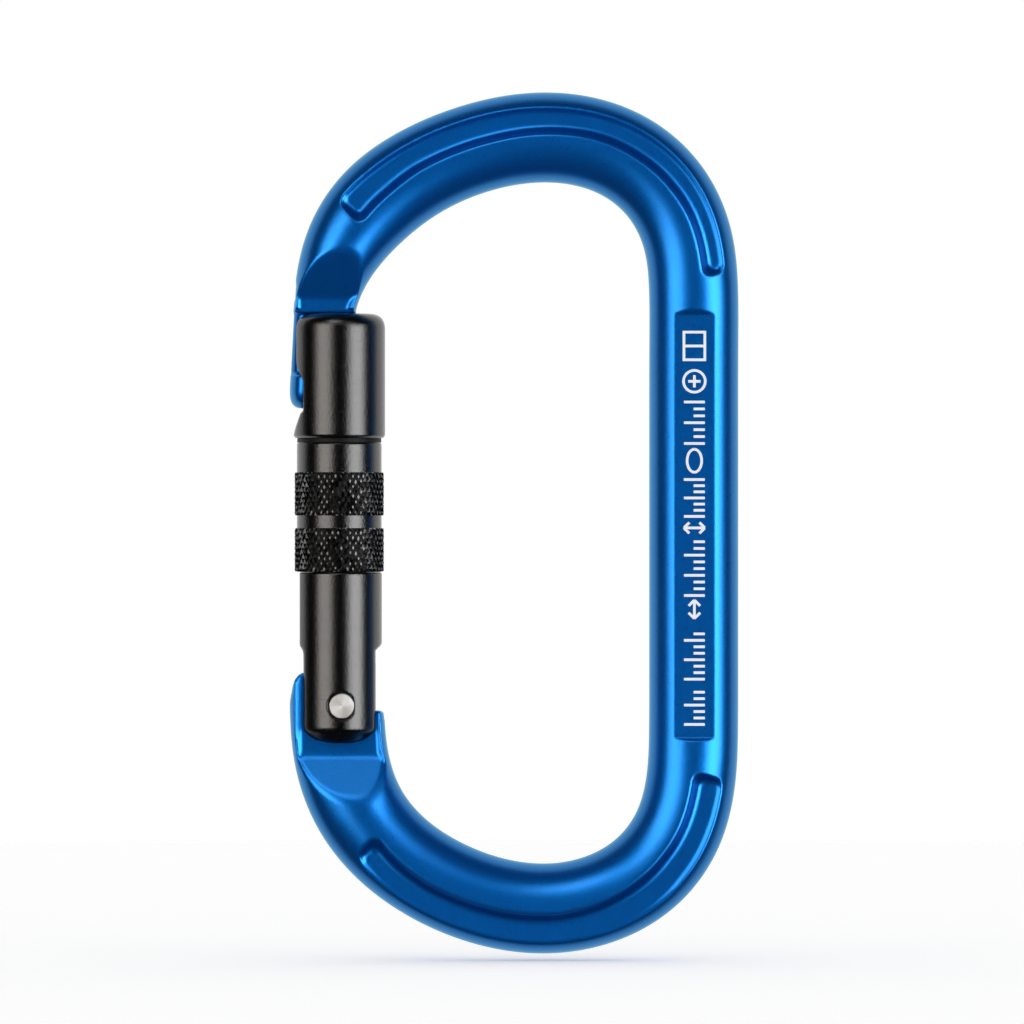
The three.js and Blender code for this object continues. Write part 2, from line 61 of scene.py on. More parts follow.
# The rod's spline: x, z, half width, from the nose over the top, down the spine to the hinge.
CENTRELINE = np.array([
    [-23.6, 14.69, 4.74], [-25.2, 22.0, 3.76], [-24.99, 29.13, 4.02], [-22.76, 35.88, 5.28],
    [-18.5, 41.62, 6.02], [-12.77, 45.85, 5.92], [-6.27, 48.72, 5.85], [0.63, 50.38, 5.88],
    [7.76, 50.41, 5.89], [14.62, 48.24, 5.87], [20.09, 43.54, 5.86], [23.06, 37.01, 5.83],
    [23.5, 29.9, 5.82], [23.42, 22.83, 5.82], [23.42, 15.79, 5.82], [23.42, 8.73, 5.82],
    [23.42, 1.66, 5.82], [23.42, -5.39, 5.82], [23.42, -12.46, 5.82], [23.42, -19.51, 5.82],
    [23.42, -26.55, 5.82], [23.3, -33.67, 5.82], [21.63, -40.61, 5.86], [17.27, -46.32, 5.89],
    [10.9, -49.72, 5.88], [3.8, -50.79, 5.88], [-3.22, -49.78, 5.89], [-9.84, -47.21, 5.88],
    [-15.84, -43.31, 5.88], [-20.47, -37.87, 5.98], [-22.85, -31.18, 6.18],
    [-23.3, -24.05, 6.17], [-23.1, -16.98, 6.14], [-22.65, -10.0, 6.13]])


# ------------------------------------------------------------------ implicit modelling
# A shape is a function of x, y, z, negative inside. soft_max(f, -hole, blend) cuts a hole.
def soft_max(a, b, blend):
    h = np.maximum(blend - np.abs(a - b), 0.0) / blend
    return np.maximum(a, b) + h * h * (blend * 0.25)


def soft_min(a, b, blend):
    return -soft_max(-a, -b, blend)


def ease(t):
    t = np.clip(t, 0.0, 1.0)
    return t * t * (3 - 2 * t)


def polygon_distance(x, z, points):
    """Signed distance to a closed outline, negative inside."""
    shape = np.broadcast(x, z).shape
    nearest = np.full(shape, 1e9)
    inside = np.zeros(shape, bool)
    for (ax, az), (bx, bz) in zip(points, points[1:] + points[:1]):
        ex, ez = bx - ax, bz - az
        t = np.clip(((x - ax) * ex + (z - az) * ez) / (ex * ex + ez * ez), 0, 1)
        nearest = np.minimum(nearest, np.hypot(x - ax - t * ex, z - az - t * ez))
        if az != bz:
            level = (z >= min(az, bz)) & (z < max(az, bz))
            inside ^= level & (x < ax + (z - az) * ex / ez)
    return np.where(inside, -nearest, nearest)


def crossing_points(field, cells, corners):
    """The mean of the surface's crossings of each cell's edges, in cell units."""
    total, hits = np.zeros((len(cells), 3)), np.zeros(len(cells))
    for start in corners:
        for axis in range(3):
            if start[axis]:
                continue
            end = list(start)
            end[axis] = 1
            f_start = field[tuple((cells + start).T)].astype(float)
            f_end = field[tuple((cells + end).T)].astype(float)
            cross = (f_start < 0) != (f_end < 0)
            t = np.where(cross, f_start / np.where(cross, f_start - f_end, 1), 0)
            at = np.array(start, float) + np.outer(t, np.array(end) - np.array(start))
            total += at * cross[:, None]
            hits += cross
    return total / hits[:, None]


def surface_quads(inside, ids, n):
    """A quad across each grid edge that passes through the surface, facing outwards."""
    quads = []
    for axis in range(3):
        u, v = [(1, 2), (2, 0), (0, 1)][axis]
        near = tuple(slice(0, n[i]) if i == axis else slice(1, n[i]) for i in range(3))
        far = tuple(slice(1, n[i] + 1) if i == axis else slice(1, n[i]) for i in range(3))
        change = np.argwhere(inside[near] != inside[far])
        solid = inside[near][tuple(change.T)]
        for i in (u, v):
            change[:, i] += 1
        sides = []
        for du, dv in ((-1, -1), (0, -1), (0, 0), (-1, 0)):
            cell = change.copy()
            cell[:, u] += du
            cell[:, v] += dv
            sides.append(ids[tuple(cell.T)])
        q = np.stack(sides, 1)
        q[~solid] = q[~solid][:, ::-1]
        quads.append(q)
    return np.concatenate(quads)


def surface_net(f, lo, hi, spacing):
    """A quad mesh on f = 0 from a regular grid, its points then moved onto the surface."""
    axes = [np.arange(lo[i], hi[i] + spacing, spacing) for i in range(3)]
    field = f(axes[0][:, None, None], axes[1][None, :, None], axes[2][None, None, :])
    field = field.astype(np.float32)
    inside = field < 0
    n = [size - 1 for size in field.shape]
    corners = [(i, j, k) for i in (0, 1) for j in (0, 1) for k in (0, 1)]
    count = np.zeros(n, np.uint8)
    for i, j, k in corners:
        count += inside[i:i + n[0], j:j + n[1], k:k + n[2]]
    cells = np.argwhere((count > 0) & (count < 8))
    ids = np.full(n, -1, np.int64)
    ids[tuple(cells.T)] = np.arange(len(cells))
    p = np.array(lo) + (cells + crossing_points(field, cells, corners)) * spacing

    e = 0.02                            # half span of the gradient's differences
    for _ in range(3):
        x, y, z = p.T
        value = f(x, y, z)
        slope = np.stack([f(x + e, y, z) - f(x - e, y, z),
                          f(x, y + e, z) - f(x, y - e, z),
                          f(x, y, z + e) - f(x, y, z - e)], 1) / (2 * e)
        move = -slope * (value / np.maximum((slope * slope).sum(1), 0.2))[:, None]
        length = np.linalg.norm(move, axis=1)
        move *= np.minimum(1, 0.35 * spacing / np.maximum(length, 1e-9))[:, None]
        p = p + move
    return p, surface_quads(inside, ids, n)


# ------------------------------------------------------------------ the rod's own coordinates
def spline(t):
    """The centreline table as a uniform cubic B-spline."""
    i = np.minimum(t.astype(int), len(CENTRELINE) - 4)
    f = (t - i)[:, None]
    a, b, c, d = (CENTRELINE[i + k] for k in range(4))
    return ((1 - f) ** 3 * a + (3 * f ** 3 - 6 * f * f + 4) * b
            + (-3 * f ** 3 + 3 * f * f + 3 * f + 1) * c + f ** 3 * d) / 6


ROD_T = np.linspace(0.9, 30.99, 1600)
ROD = spline(ROD_T)
ROD_STEPS = np.gradient(ROD[:, :2], axis=0)
ROD_TANGENT = ROD_STEPS / np.linalg.norm(ROD_STEPS, axis=1)[:, None]
ROD_LENGTH = np.concatenate(
    [[0], np.cumsum(np.linalg.norm(np.diff(ROD[:, :2], axis=0), axis=1))])

# The rod sample nearest each node of a coarse grid, to start the search from.
NEAR_STEP = 0.5
NEAR_X = np.arange(-31.5, 31.6, NEAR_STEP)
NEAR_Z = np.arange(-58.5, 58.6, NEAR_STEP)
NEAREST = np.array([
    np.argmin((ROD[None, :, 0] - x) ** 2 + (ROD[None, :, 1] - NEAR_Z[:, None]) ** 2, axis=1)
    for x in NEAR_X])


def near_index(value, grid):
    return np.clip(np.rint((value - grid[0]) / NEAR_STEP).astype(int), 0, len(grid) - 1)


def rod_coordinates(x, z):
    """Offset from the centreline (positive outwards), length along it, and half width."""
    shape = x.shape
    x, z = x.ravel(), z.ravel()

    def offsets(along):
        columns = (ROD[:, 0], ROD[:, 1], ROD_TANGENT[:, 0], ROD_TANGENT[:, 1])
        cx, cz, tx, tz = (np.interp(along, ROD_LENGTH, column) for column in columns)
        return x - cx, z - cz, tx, tz

    along = ROD_LENGTH[NEAREST[near_index(x, NEAR_X), near_index(z, NEAR_Z)]]
    for _ in range(3):
        dx, dz, tx, tz = offsets(along)
        along = np.clip(along + np.clip(dx * tx + dz * tz, -1.5, 1.5),
                        ROD_LENGTH[0], ROD_LENGTH[-1])
    dx, dz, tx, tz = offsets(along)
    offset = -dx * tz + dz * tx
    half_width = np.interp(along, ROD_LENGTH, ROD[:, 2])
    return offset.reshape(shape), along.reshape(shape), half_width.reshape(shape)


def length_at(t):
    return float(np.interp(t, ROD_T, ROD_LENGTH))


# ------------------------------------------------------------------ body shape
def cam_outline():
    """The hinge tongue's cam: a spiral round the hinge's axis, moved out by a clearance."""
    clearance = 1.37

    def spiral(angle):
        radius = 5.3 + 2.15 * angle
        return HINGE_X + radius * math.sin(angle), HINGE_Z + radius * math.cos(angle)

    points = []
    for degrees in np.arange(-14, 41, 3.0):
        angle = math.radians(degrees)
        x, z = spiral(angle)
        next_x, next_z = spiral(angle + 1e-4)
        length = math.hypot(next_x - x, next_z - z)
        points.append((x + (next_z - z) / length * clearance,
                       z - (next_x - x) / length * clearance))
    return points


# The space above the tongue (x, z): shoulder, cam, inner lip.
ABOVE_TONGUE = [
    (-36, 12), (-36, -23.4), (-29.6, -23.4), (-29.2, -22.3), (-28.98, -21.3), (-28.68, -20.5),
    (-28.2, -19.93), (-27.7, -19.62), (-27.1, -19.6), (-25.6, -20.9), (-24.6, -20.9),
    *cam_outline(),
    (-18.55, -21.4), (-18.5, -24.2), (-18.3, -24.55), (-17.45, -24.6), (-17.0, -24.85),
    (-16.8, -25.6), (-9, -25.6), (-9, 12)]

# Each arc's pocket: its two ends as spline parameters, then its inner and outer edges
# as (spline parameter, offset).
POCKETS = [
    (2.56, 10.72,
     [(2.5, -0.35), (3.4, -0.25), (4.0, 0.0), (5.5, 0.08), (6.7, 0.28), (7.4, 0.42),
      (8.2, 0.42), (9.0, 0.62), (9.6, 0.9), (10.6, 1.12)],
     [(2.5, 3.8), (3.5, 3.6), (6.5, 3.6), (8.0, 3.75), (9.0, 3.9), (10.6, 4.05)]),
    (19.85, 27.47,
     [(19.8, 0.15), (20.8, 0.05), (21.5, -0.08), (22.2, 0.0), (22.8, 0.2), (23.7, 0.55),
      (25.5, 0.65), (26.2, 0.7), (26.8, 0.5), (27.4, 0.1)],
     [(19.8, 4.05), (20.8, 3.95), (21.6, 4.0), (22.4, 4.4), (23.2, 5.0), (26.2, 5.0),
      (26.9, 4.3), (27.4, 3.9)])]
POCKET_FLOOR = 3.82                     # from the mid plane
PAD_LEVEL = 4.93                        # the spine's pads, from the mid plane
NOSE_WEB, HINGE_WEB = 2.25, 2.4         # half thickness of the webs at the rod's ends


def forged_section(x, z, depth, offset, along, half_width):
    """An ellipse, squarer towards the hinge and a little flatter on the spine."""
    squarer = ease((along - length_at(27.6)) / 9.0)
    spine = ease((x - 12) / 4) * ease((36 - np.abs(z)) / 7)
    power = 2.1 + 0.15 * squarer + 0.1 * spine
    half_depth = HALF_DEPTH - 0.06 * spine
    ru = np.maximum(np.abs(offset), 1e-6) / half_width
    ry = np.maximum(depth, 1e-6) / half_depth
    g = np.maximum((ru ** power + ry ** power) ** (1 / power), 1e-3)
    slope = np.sqrt(((ru / g) ** (power - 1) / half_width) ** 2
                    + ((ry / g) ** (power - 1) / half_depth) ** 2)
    return (g - 1) / np.maximum(slope, 0.12)


def cut_pockets(f, depth, offset, along):
    """Pockets with sloping walls in the outer half of both arcs."""
    for t_start, t_end, inner_edge, outer_edge in POCKETS:
        start, end = length_at(t_start), length_at(t_end)
        inner, outer = (
            np.interp(along, [length_at(t) for t, _ in edge], [value for _, value in edge])
            for edge in (inner_edge, outer_edge))
        rise = np.clip(depth - POCKET_FLOOR, -0.6, 2.0)
        inner = inner + 0.55 * (1.6 - rise)
        outer = outer + 0.4 * (rise - 0.25)
        wide = np.maximum((outer - inner) / 2, 0.3)
        corner = np.minimum(1.05, wide)
        half_length = (end - start) / 2 - 0.5 * (1.6 - rise)
        qx = np.abs(along - (start + end) / 2) - half_length + corner
        qz = np.abs(offset - (inner + outer) / 2) - wide + corner
        ring = (np.minimum(np.maximum(qx, qz), 0)
                + np.hypot(np.maximum(qx, 0), np.maximum(qz, 0)) - corner) * 0.88
        f = soft_max(f, -soft_max(ring, POCKET_FLOOR - depth, 0.6), 0.26)
    return f


def mill_pads(f, x, z, depth):
    """Flat pads on both faces of the spine, with a small step and a slope at each end."""
    level = PAD_LEVEL + 0.62 * np.maximum(z - 27.2, 0) + 1.1 * np.maximum(-28.15 - z, 0)
    level = level + 0.09 * ease((z - 27.12) / 0.12) + 0.09 * ease((-28.07 - z) / 0.12)
    return np.where(x > 12, soft_max(f, depth - level, 0.05), f)


def cut_nose_end(f, x, z, depth, outer_edge):
    """A web between two low lips, and a slope out to the full depth."""
    rise = depth - NOSE_WEB
    web = soft_min(rise, (rise - 0.5 * (z - 29.2)) / 1.118, 0.2)
    walls = np.maximum((-27.9 - 2.1 * rise) - x,
                       x - (-21.95 + 0.45 * (z - 28.0) + 1.7 * rise)) * 0.45
    walls = np.where(z < 27.9, np.maximum(walls - 3 * (27.9 - z), -5), walls)
    here = (x < -8) & (z > 5)
    cut = np.where(here, soft_max(-web, walls, 0.08), 5.0)
    f = soft_max(f, -cut, 0.09 + 0.2 * ease((z - 28.6) / 1.2))
    outside = np.where(z < 31, outer_edge - x, outer_edge - x - (z - 31) * 0.5)
    return np.where(here, soft_max(soft_max(f, 27.36 - z, 0.12), outside, 0.5), f)


def add_nose(f, x, y, z, depth, outer_edge):
    """The nose's neck and T head, the T's ends domed, with the bolt's socket up its axis."""
    head = ease((19.75 - z) / 0.7)
    dome = (0.27 * np.clip(x + 27.5, -2.0, 1.0) ** 2
            + 0.09 * np.clip(z - 17.6, -2.2, 1.6) ** 2) * ease((19.9 - z) / 0.7)
    side = (depth - (1.78 + 1.66 * head) + dome) * 0.8
    low = soft_max(side, 14.9 - z, 2.0)
    inner = x - (-20.9 + 0.9 * ease((20.6 - z) / 1.8))
    nose = soft_max(low, soft_max(outer_edge - x, inner, 0.3), 1.9)
    nose = soft_max(nose, z - 28.9, 0.3)
    socket = np.maximum(np.hypot(x - GATE_X, y) - 1.75, z - 18.4)
    nose = soft_max(nose, -socket, 0.25)
    return np.where((x < -8) & (z > 12) & (z < 33), soft_min(f, nose, 0.35), f)


def cut_hinge_end(f, x, z, depth):
    """A pocket between two lips, the tongue below the cam, and the rivet's hole."""
    rise = depth - HINGE_WEB
    web = soft_min(rise, (rise - 0.527 * (-30.4 - z)) / 1.13, 0.3)
    walls = np.maximum(((-27.75 - 2.1 * rise) - x) * 0.43,
                       (x - (-18.1 - 0.04 * (z + 25.0) + 1.7 * rise)) * 0.5)
    here = (x < -8) & (z < 5)
    cut = np.where(here, soft_max(-web, walls, 0.1), 5.0)
    f = soft_max(f, -cut, 0.1 + 0.38 * ease((-30.3 - z) / 1.0))
    f = np.where(here, soft_max(f, -polygon_distance(x, z, ABOVE_TONGUE), 0.45), f)
    hole = np.hypot(x - HINGE_X, z - HINGE_Z) - 1.63
    return np.where(here, soft_max(f, -hole, 0.15), f)


def body_shape(x, y, z):
    x, z = np.broadcast_arrays(x, z)
    depth = np.abs(y)
    offset, along, half_width = rod_coordinates(x, z)
    outer_edge = -28.69 - 0.052 * (30.4 - z)        # the nose's left side, slightly slanted
    f = forged_section(x, z, depth, offset, along, half_width)
    f = cut_pockets(f, depth, offset, along)
    f = mill_pads(f, x, z, depth)
    f = cut_nose_end(f, x, z, depth, outer_edge)
    f = add_nose(f, x, y, z, depth, outer_edge)
    return cut_hinge_end(f, x, z, depth)


# ------------------------------------------------------------------ gate shapes
HEAD_RADIUS, STEM_RADIUS = 6.0, 3.6
TAIL_RADIUS, COLLAR_RADIUS = 5.58, 5.54

# The keyhole's run-out low on the barrel's left side (x, z).
KEYHOLE_RUN_OUT = [
    (-33, 18), (-33, 10.6), (-29.6, 10.6), (-28.95, 11.5), (-28.55, 12.6), (-27.9, 14.4),
    (-27.9, 18)]

# The fork's outline (x, z): a step in from the barrel, a curved lower edge.
TAIL_OUTLINE = [
    (-30.5, -3), (-30.5, -15.75), (-28.75, -15.8), (-28.3, -15.95), (-27.9, -16.3),
    (-27.63, -16.75), (-27.56, -17.3), (-27.56, -26.8), (-27.42, -27.3), (-26.86, -27.92),
    (-25.92, -28.39), (-24.5, -28.7), (-22.93, -28.8), (-21.2, -28.73), (-19.8, -28.46),
    (-19.0, -28.06), (-18.47, -27.55), (-18.2, -27.1), (-18.14, -26.6), (-18.14, -16.7),
    (-17.2, -15.85), (-15, -15.75), (-15, -3)]


def tail_pin_hole(y, z):
    return np.hypot(y - TAIL_PIN_Y, z - TAIL_PIN_Z) - TAIL_PIN_HOLE


def head_shape(x, y, z):
    """The barrel's upper part with the nose's keyhole, on a narrower stem."""
    run_out = polygon_distance(x, z, KEYHOLE_RUN_OUT)
    x, y, z = np.broadcast_arrays(x, y, z)
    r = np.hypot(x - GATE_X, y)
    depth = np.abs(y)
    barrel = soft_max(r - HEAD_RADIUS, z - 27.28, 2.1)
    chamfer = (r - HEAD_RADIUS + (11.34 - z) * 0.95) / 1.38
    barrel = soft_max(barrel, np.maximum(11.02 - z, chamfer), 0.10)
    stem = np.maximum(soft_max(r - STEM_RADIUS, -11.3 - z, 0.4), z - 12.0)
    f = np.minimum(barrel, stem)
    # The keyhole widens downwards.
    side = (depth - (2.0 + 1.6 * ease((21.15 - z) / 3.1))) * 0.86
    inner = x - (-20.6 + 0.9 * ease((20.9 - z) / 1.8))
    key = soft_max(soft_max(side, 14.4 - z, 0.6), inner, 0.5)
    key = soft_min(key, np.maximum(run_out, depth - 3.6), 0.25)
    f = soft_max(f, -key, 0.28)
    # The bolt's bore, and the slot the drive pin slides in.
    f = soft_max(f, -np.maximum(r - 1.6, z - 16), 0.15)
    slot = np.maximum(np.maximum(np.abs(x - GATE_X) - 0.875, DRIVE_PIN_Z - 1.0 - z),
                      z - (DRIVE_PIN_Z + DRIVE_PIN_LIFT + 1.0))
    f = soft_max(f, -slot, 0.12)
    return soft_max(f, -np.maximum(tail_pin_hole(y, z), z + 8), 0.1)


def tail_shape(x, y, z):
    """The barrel's lower part: a fork whose two ears straddle the body's tongue."""
    outline = polygon_distance(x, z, TAIL_OUTLINE)
    x, y, z = np.broadcast_arrays(x, y, z)
    r = np.hypot(x - GATE_X, y)
    depth = np.abs(y)
    f = soft_max(soft_max(r - TAIL_RADIUS, outline, 0.3), z + 6.52, 0.3)
    # The ears end in a turned chamfer, and swing clear of the body's lips.
    f = soft_max(f, (r - TAIL_RADIUS - 0.85 * (z + 27.1)) * 0.76, 0.3)
    sweep = np.hypot(x - HINGE_X, np.minimum(z - HINGE_Z, 0.0))
    f = soft_max(f, (sweep - (5.55 + 2.0 * np.maximum(depth - 2.5, 0.0))) * 0.45, 0.1)
    # The gap between the ears, the stem's socket and the plunger's bore.
    f = soft_max(f, -np.maximum(depth - 2.55, z + 18.3), 0.2)
    f = soft_max(f, -np.maximum(r - 3.65, -11.5 - z), 0.12)
    f = soft_max(f, -np.maximum(r - 1.33, np.abs(z + 15.6) - 3.3), 0.12)
    # The rivet's hole, countersunk round its heads.
    rivet = np.hypot(x - HINGE_X, z - HINGE_Z)
    f = soft_max(f, -(rivet - 1.6), 0.1)
    f = soft_max(f, -np.maximum(rivet - 1.85, 5.2 - depth), 0.1)
    return soft_max(f, -np.maximum(tail_pin_hole(y, z), -13 - z), 0.12)


def collar_shape(x, y, z):
    """A sleeve, counterbored at both ends, with two helical grooves for the drive pin."""
    x, y, z = np.broadcast_arrays(x, y, z)
    r = np.hypot(x - GATE_X, y)
    angle = np.arctan2(y, x - GATE_X)
    f = soft_max(r - COLLAR_RADIUS, np.maximum(z - 10.39, -6.47 - z), 0.25)
    f = soft_max(f, -(r - 3.72), 0.15)
    f = soft_max(f, -np.maximum(r - 4.75, 1.5 - z), 0.15)
    f = soft_max(f, -np.maximum(r - 5.0, z + 5.85), 0.15)
    for start in (math.pi / 2, 1.5 * math.pi):
        turn = (start - angle + math.pi) % (2 * math.pi) - math.pi
        turn = np.where(turn < -math.radians(60), turn + 2 * math.pi, turn)
        height = z - (DRIVE_PIN_Z + DRIVE_PIN_LIFT * turn / (math.pi / 2))
        groove = np.maximum(np.abs(height) * 0.9 - 0.95, r - 4.9)
        ends = (np.abs(turn - math.pi / 4) - math.radians(63)) * 4.3
        f = soft_max(f, -np.maximum(groove, ends), 0.12)
    return f


# ------------------------------------------------------------------ meshes
def add_object(name, data):
    obj = bpy.data.objects.new(name, data)
    scene.collection.objects.link(obj)
    return obj


def quad_object(name, points, faces, smooth):
    """A mesh of quads alone, filled straight from arrays."""
    mesh = bpy.data.meshes.new(name)
    faces = np.asarray(faces)
    mesh.vertices.add(len(points))
    mesh.vertices.foreach_set("co", (np.asarray(points) * MM).astype(np.float32).ravel())
    mesh.loops.add(faces.size)
    mesh.loops.foreach_set("vertex_index", faces.astype(np.int32).ravel())
    mesh.polygons.add(len(faces))
    mesh.polygons.foreach_set("loop_start", np.arange(0, faces.size, 4, dtype=np.int32))
    mesh.update(calc_edges=True)
    mesh.validate()
    mesh.polygons.foreach_set("use_smooth", np.full(len(mesh.polygons), smooth))
    return add_object(name, mesh)


def smooth_object(name, points, faces):
    """A smooth mesh of triangles and quads."""
    mesh = bpy.data.meshes.new(name)
    mesh.from_pydata([tuple(np.array(point) * MM) for point in points], [], faces)
    mesh.validate()
    mesh.polygons.foreach_set("use_smooth", np.ones(len(mesh.polygons), bool))
    return add_object(name, mesh)


def implicit(name, shape, lo, hi, spacing):
    points, quads = surface_net(shape, lo, hi, spacing)
    return quad_object(name, points, quads, smooth=True)


def rounded(profile, steps):
    """A closed outline of (radius, height, rounding) points as (radius, height) points."""
    corners = [np.array(point[:2], float) for point in profile]
    out = []
    for i, corner in enumerate(corners):
        to_last = corners[i - 1] - corner
        to_next = corners[(i + 1) % len(corners)] - corner
        last_length, next_length = np.linalg.norm(to_last), np.linalg.norm(to_next)
        rounding = min(profile[i][2], last_length * 0.45, next_length * 0.45)
        if rounding < 1e-4:
            out.append(corner)
            continue
        start = corner + to_last / last_length * rounding
        end = corner + to_next / next_length * rounding
        for k in range(steps + 1):
            t = k / steps
            out.append((1 - t) ** 2 * start + 2 * t * (1 - t) * corner + t * t * end)
    return out


AXIS_ORDER = {"x": [2, 0, 1], "y": [1, 2, 0], "z": [0, 1, 2]}


def lathe(name, outline, at, axis, segments, wobble=None):
    """(radius, height) points turned about an axis through at; radius 0 makes a pole.

    An outline that starts off the axis is closed into a ring."""
    rings, points = [], []
    for r, h in outline:
        if r < 1e-6:
            rings.append([len(points)])
            points.append((0, 0, h))
            continue
        rings.append(list(range(len(points), len(points) + segments)))
        for k in range(segments):
            a = 2 * math.pi * k / segments
            radius, height = wobble(r, h, a) if wobble else (r, h)
            points.append((radius * math.cos(a), radius * math.sin(a), height))
    if outline[0][0] > 1e-6:
        rings.append(rings[0])
    faces = []
    for lower, upper in zip(rings, rings[1:]):
        for k in range(segments):
            j = (k + 1) % segments
            if len(lower) == 1:
                faces.append((lower[0], upper[j], upper[k]))
            elif len(upper) == 1:
                faces.append((lower[k], lower[j], upper[0]))
            else:
                faces.append((lower[k], lower[j], upper[j], upper[k]))
    return smooth_object(name, np.array(points)[:, AXIS_ORDER[axis]] + np.array(at), faces)


def pin_outline(radius, low, high, flats, roundings, steps):
    """A pin with rounded rims; flats are the radii of the points kept on its end faces."""
    rim = rounded([(flats[0], low, 0), (radius, low, roundings[0]),
                   (radius, high, roundings[1]), (flats[1], high, 0)], steps)
    return [(0, low)] + rim + [(0, high)]


def coil(name, radius, wire, z0, z1, turns):
    """A spring about the gate's axis, its end turns closed up; wire is the wire's radius."""
    per_turn, sides, closed = 36, 12, 0.9
    steps = int(turns * per_turn)
    u = np.linspace(0, 1, steps + 1)
    end = closed / turns
    flat = min(wire * 2.05 / ((z1 - z0) * (closed / turns)) * closed, 0.9)
    middle = flat * end + (u - end) * (1 - 2 * flat * end) / (1 - 2 * end)
    rise = np.where(u < end, flat * u, np.where(u > 1 - end, 1 - flat * (1 - u), middle))
    a = 2 * math.pi * turns * u
    centre = np.stack([GATE_X + radius * np.cos(a), radius * np.sin(a),
                       z0 + wire + (z1 - z0 - 2 * wire) * rise], 1)
    tangent = np.gradient(centre, axis=0)
    tangent /= np.linalg.norm(tangent, axis=1)[:, None]
    binormal = np.cross(tangent, np.stack([-np.cos(a), -np.sin(a), 0 * a], 1))
    binormal /= np.linalg.norm(binormal, axis=1)[:, None]
    normal = np.cross(binormal, tangent)
    points, faces = [], []
    for i in range(steps + 1):
        for k in range(sides):
            w = 2 * math.pi * k / sides
            points.append(centre[i] + wire * (math.cos(w) * normal[i]
                                              + math.sin(w) * binormal[i]))
    ring_faces = [(k, (k + 1) % sides) for k in range(sides)]
    for i in range(steps):
        for k, j in ring_faces:
            faces.append((i * sides + k, i * sides + j,
                          (i + 1) * sides + j, (i + 1) * sides + k))
    first, last = len(points), len(points) + 1
    points += [centre[0] - tangent[0] * wire * 0.35, centre[-1] + tangent[-1] * wire * 0.35]
    for k, j in ring_faces:
        faces.append((first, j, k))
        faces.append((last, steps * sides + k, steps * sides + j))
    return smooth_object(name, points, faces)


# ------------------------------------------------------------------ shader graphs
class Graph:
    """A node tree, with short ways to add nodes. An input is given a value or a socket."""

    def __init__(self, tree):
        self.nodes, self.links = tree.nodes, tree.links

    def feed(self, node, inputs):
        for key, value in inputs.items():
            if isinstance(value, bpy.types.NodeSocket):
                self.links.new(value, node.inputs[key])
            else:
                node.inputs[key].default_value = value

    def add(self, kind, inputs):
        node = self.nodes.new(kind)
        self.feed(node, inputs)
        return node

    def coords(self, kind="Object"):
        return self.nodes.new("ShaderNodeTexCoord").outputs[kind]

    def split(self, vector):
        return self.add("ShaderNodeSeparateXYZ", {0: vector}).outputs

    def noise(self, vector, scale, detail, roughness):
        return self.add("ShaderNodeTexNoise", {
            "Scale": scale, "Detail": detail, "Roughness": roughness,
            "Vector": vector}).outputs["Fac"]

    def remap(self, value, low, high, out_low=0.0, out_high=1.0, smooth=False):
        node = self.nodes.new("ShaderNodeMapRange")
        if smooth:
            node.interpolation_type = "SMOOTHSTEP"
        self.feed(node, {"From Min": low, "From Max": high,
                         "To Min": out_low, "To Max": out_high, "Value": value})
        return node.outputs["Result"]

    def calc(self, operation, a, b=0.0):
        node = self.nodes.new("ShaderNodeMath")
        node.operation = operation
        self.feed(node, {0: a, 1: b})
        return node.outputs[0]

    def weighted(self, a, a_share, b, b_share):
        return self.calc("ADD", self.calc("MULTIPLY", a, a_share),
                         self.calc("MULTIPLY", b, b_share))

    def stretched(self, vector, factors):
        node = self.nodes.new("ShaderNodeVectorMath")
        node.operation = "MULTIPLY"
        self.feed(node, {0: vector, 1: factors})
        return node.outputs[0]

    def ramp(self, value, colours, positions=(0.0, 1.0)):
        node = self.add("ShaderNodeValToRGB", {"Fac": value})
        for element, position, colour in zip(node.color_ramp.elements, positions, colours):
            element.position = position
            element.color = (*colour, 1)
        return node.outputs["Color"]

    def bump(self, height, strength, distance):
        return self.add("ShaderNodeBump", {
            "Strength": strength, "Distance": distance, "Height": height}).outputs["Normal"]

    def background(self, colour, strength):
        return self.add("ShaderNodeBackground", {
            "Color": colour, "Strength": strength}).outputs[0]

    def mix_shader(self, factor, a, b):
        return self.add("ShaderNodeMixShader", {0: factor, 1: a, 2: b}).outputs[0]


# ------------------------------------------------------------------ materials
def new_material(name):
    material = bpy.data.materials.new(name)
    material.use_nodes = True
    graph = Graph(material.node_tree)
    return material, graph, graph.nodes["Principled BSDF"]


def shades(colour, dark, pale):
    """A colour's darker and paler versions."""
    return [tuple(min(1, c * factor) for c in colour) for factor in (dark, pale)]


